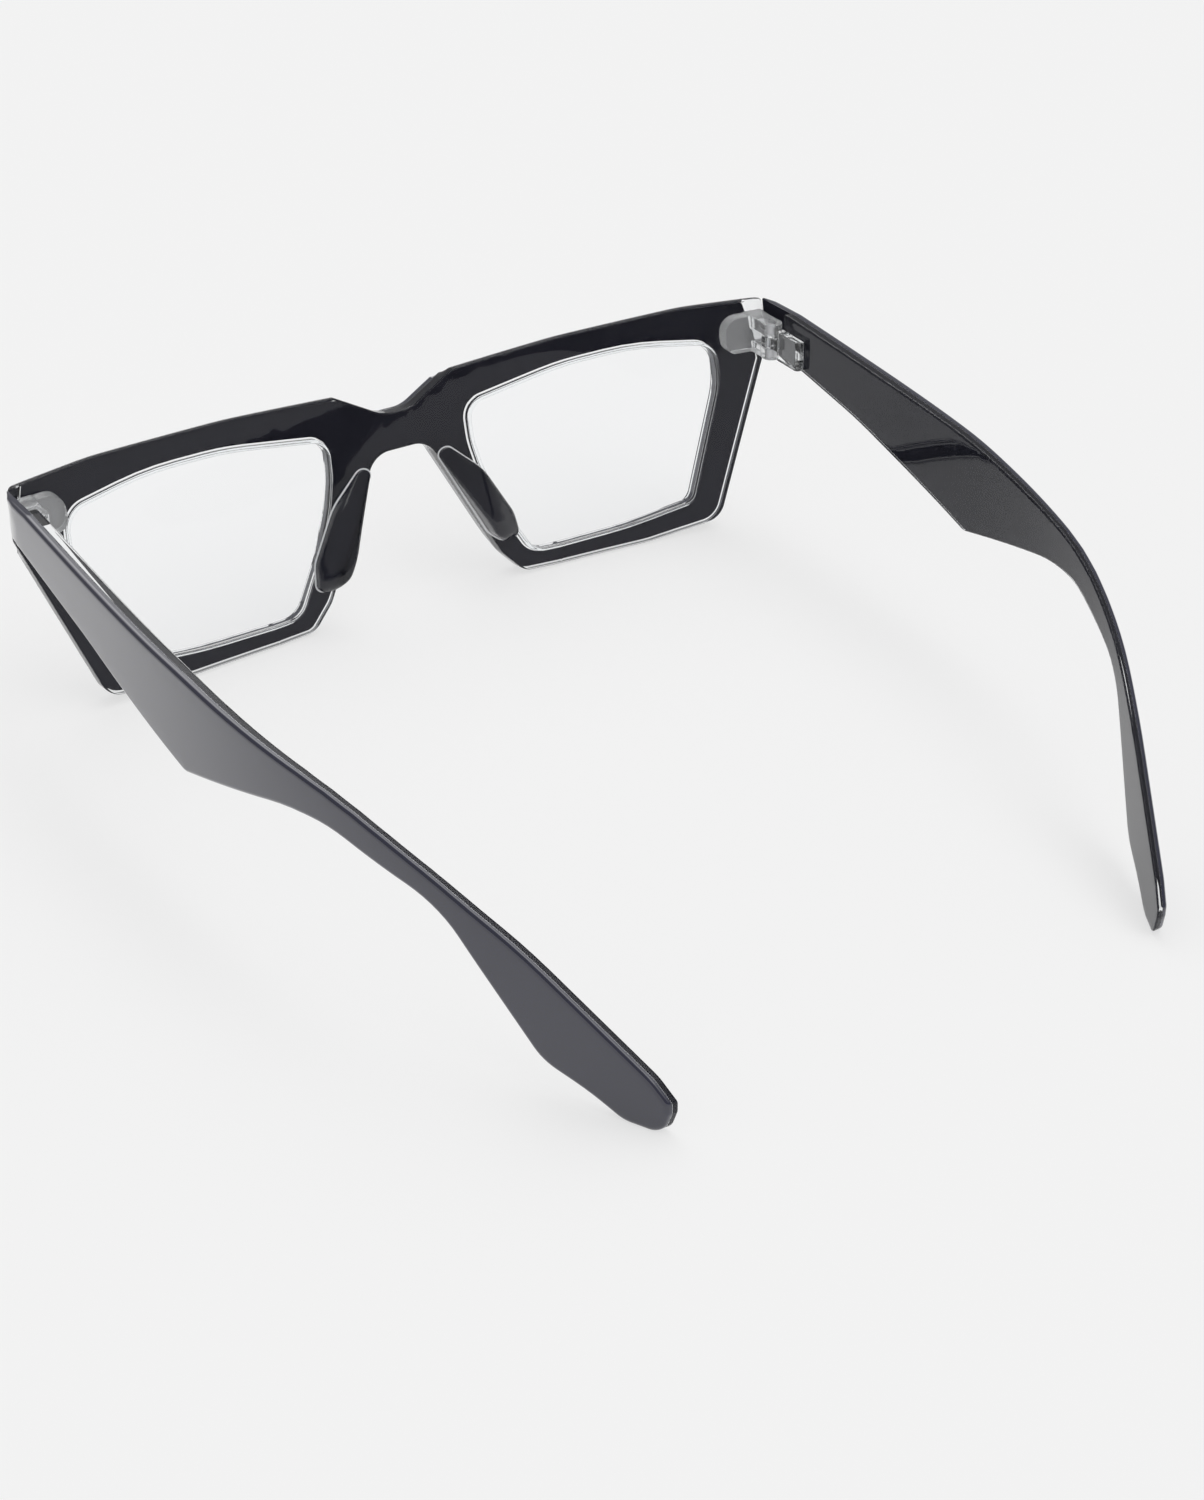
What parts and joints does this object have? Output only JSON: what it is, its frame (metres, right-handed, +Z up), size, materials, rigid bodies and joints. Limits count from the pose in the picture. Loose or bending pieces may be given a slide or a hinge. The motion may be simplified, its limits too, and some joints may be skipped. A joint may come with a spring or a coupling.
{
  "type": "rectangular eyeglasses",
  "caption": "Rectangular full-rim eyeglasses in black and clear layered plastic, with clear lenses, moulded nose pads and folding temples on pin hinges.",
  "frame": {"origin": "middle of the bounding box on the table, under the middle of the glasses standing open on the rim bottoms and the temple tips", "axes": "+X to the wearer's left, +Y from the front back along the temples, +Z up; the lenses face -Y"},
  "size_m": [0.145, 0.1548, 0.041],
  "materials": {
    "black_acetate": "polished black acetate",
    "clear_acetate": "polished clear acetate",
    "clear_pad": "polished clear plastic",
    "clear_hinge": "clear moulded plastic",
    "lens": "clear lens",
    "pin": "plain steel"
  },
  "bodies": {
    "front": {"front_black_layer": "black_acetate", "front_clear_layer": "clear_acetate", "lens_left": "lens", "lens_right": "lens", "nose_pad_left": "clear_pad", "nose_pad_right": "clear_pad", "front_hinge_block_left": "clear_hinge", "front_hinge_block_right": "clear_hinge", "hinge_pin_left": "pin", "hinge_pin_right": "pin"},
    "temple_left": {"temple_outer_left": "black_acetate", "temple_inner_left": "clear_acetate", "temple_hinge_block_left": "clear_hinge"},
    "temple_right": {"temple_outer_right": "black_acetate", "temple_inner_right": "clear_acetate", "temple_hinge_block_right": "clear_hinge"}
  },
  "joints": [
    {"name": "temple_left_hinge", "type": "hinge", "parent": "front", "child": "temple_left", "pos_m": [0.0689, -0.06156, 0.03526], "axis": [0, 0, 1], "range_deg": [0, 78]},
    {"name": "temple_right_hinge", "type": "hinge", "parent": "front", "child": "temple_right", "pos_m": [-0.0689, -0.06156, 0.03526], "axis": [0, 0, -1], "range_deg": [0, 66]}
  ]
}
